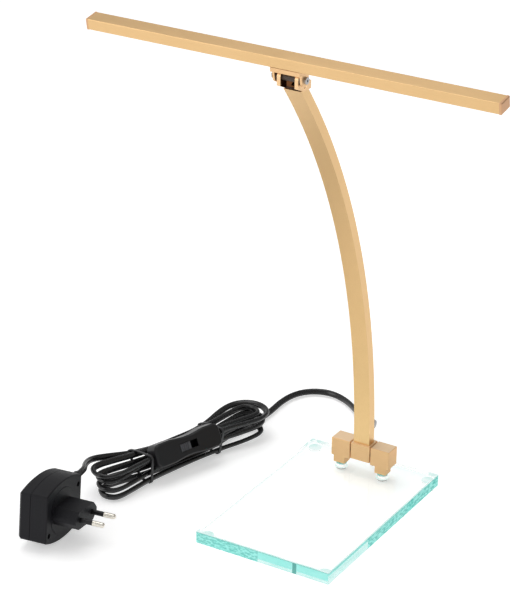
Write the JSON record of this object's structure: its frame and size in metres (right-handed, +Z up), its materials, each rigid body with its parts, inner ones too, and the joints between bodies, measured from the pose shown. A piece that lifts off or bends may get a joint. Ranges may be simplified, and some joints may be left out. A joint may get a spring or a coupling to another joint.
{
  "type": "piano lamp",
  "caption": "Table lamp for a piano: slim light bar on a curved arm over a clear glass base, hinged at base and head, with cord, slide switch and plug adapter.",
  "frame": {"origin": "centre of the base's footprint box at table height, under the lamp without its cord", "axes": "+Z up, -Y from the hinge towards the light bar, +X along the light bar to the right seen from the front"},
  "size_m": [0.3282, 0.3334, 0.3769],
  "materials": {
    "glass": "polished clear glass with a green-blue edge",
    "bumper": "soft clear grey rubber",
    "brass": "brushed brass",
    "gold_aluminium": "aluminium, brushed and coloured like brass",
    "steel": "plain steel",
    "dark_steel": "darkened steel",
    "clear_plastic": "clear plastic",
    "dark_plastic": "dark plastic",
    "diffuser": "milky plastic",
    "board": "white circuit board",
    "chip": "yellow light chips",
    "cord": "black flexible cord",
    "tie": "black plastic over wire",
    "black_plastic": "black moulded plastic, fine texture",
    "contact": "plain brass",
    "pin": "bright nickel",
    "core": "steel core and coil"
  },
  "bodies": {
    "base": {"adapter_back_cover": "black_plastic", "adapter_front_cover": "black_plastic", "adapter_transformer": "core", "axle_grub_screws": "dark_steel", "base_bumpers": "bumper", "base_screws": "steel", "cord_hank": "cord", "cord_lead": "cord", "cord_tail": "cord", "foot_washers": "clear_plastic", "friction_washers": "dark_plastic", "glass_bushes": "clear_plastic", "glass_plate": "glass", "hank_tie_left": "tie", "hank_tie_right": "tie", "hinge_axle": "steel", "hinge_block_left": "brass", "hinge_block_right": "brass", "pin_sleeves": "black_plastic", "plug_nose": "black_plastic", "plug_pins": "pin", "plug_strain_relief": "cord", "switch_base": "black_plastic", "switch_contacts": "contact", "switch_cover": "black_plastic", "switch_screws": "steel"},
    "arm": {"hinge_block_middle": "brass", "friction_grub_screw": "dark_steel", "arm_tenon": "steel", "arm_tube": "brass", "cord_grommet": "cord", "arm_lead": "cord", "arm_knuckle": "brass"},
    "head": {"head_bracket": "brass", "pivot_bolt": "dark_steel", "pivot_nut": "dark_steel", "pivot_washers": "dark_plastic", "friction_barrel": "dark_plastic", "bracket_screws": "steel", "light_profile": "gold_aluminium", "end_cap_left": "gold_aluminium", "end_cap_right": "gold_aluminium", "diffuser": "diffuser", "led_board": "board", "led_chips": "chip"},
    "slider": {"switch_slider": "black_plastic"}
  },
  "joints": [
    {"name": "base_tilt", "type": "hinge", "parent": "base", "child": "arm", "pos_m": [0, 0.0669, 0.0262], "axis": [1, 0, 0], "range_deg": [-35, 50], "deforming": ["cord_lead"]},
    {"name": "head_tilt", "type": "hinge", "parent": "arm", "child": "head", "pos_m": [0, -0.0575, 0.3595], "axis": [1, 0, 0], "range_deg": [-60, 75]},
    {"name": "switch_slide", "type": "slide", "parent": "base", "child": "slider", "axis": [0.309, 0.9511, 0], "range_m": [0, 0.0065]}
  ]
}
